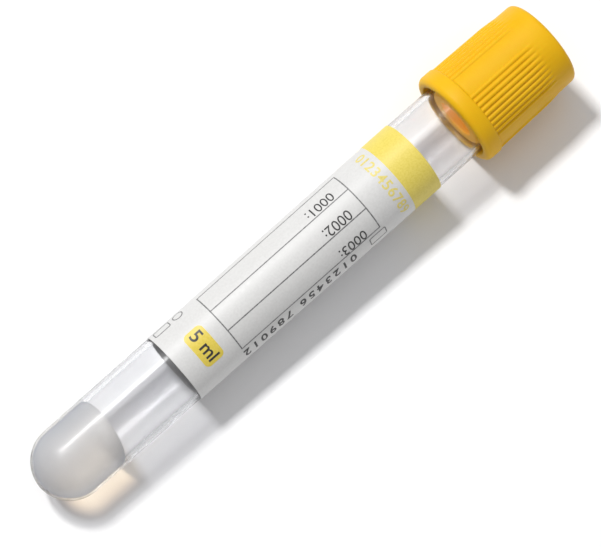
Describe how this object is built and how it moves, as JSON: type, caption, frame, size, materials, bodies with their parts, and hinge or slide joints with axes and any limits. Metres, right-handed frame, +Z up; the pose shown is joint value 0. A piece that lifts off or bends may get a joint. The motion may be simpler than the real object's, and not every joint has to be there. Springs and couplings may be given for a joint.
{
  "type": "blood collection tube",
  "caption": "Clear plastic round-bottom blood collection tube with a gel plug, paper label and ribbed yellow pull cap with a rubber stopper, lying on its side.",
  "frame": {"origin": "on the surface that the tube lies on, under the middle of its length", "axes": "+X runs along the lying tube from the round end towards the cap, +Z is up, and the tube's own axis rises 1.6 degrees towards the cap"},
  "size_m": [0.1076, 0.0172, 0.0172],
  "materials": {
    "clear_plastic": "clear and glossy",
    "gel": "cloudy gel",
    "label_paper": "smooth white paper",
    "yellow_ink": "printed",
    "black_ink": "printed",
    "cap_plastic": "satin moulded",
    "stopper_rubber": "smooth moulded rubber"
  },
  "bodies": {
    "tube_body": {"tube": "clear_plastic", "gel_plug": "gel", "label": "label_paper", "label_band": "yellow_ink", "volume_patch": "yellow_ink", "writing_frame": "black_ink"},
    "closure": {"cap": "cap_plastic", "rubber_stopper": "stopper_rubber"}
  },
  "joints": [
    {"name": "cap_pull", "type": "slide", "parent": "tube_body", "child": "closure", "axis": [0.9996, 0, 0.0287], "range_m": [0, 0.03]}
  ]
}
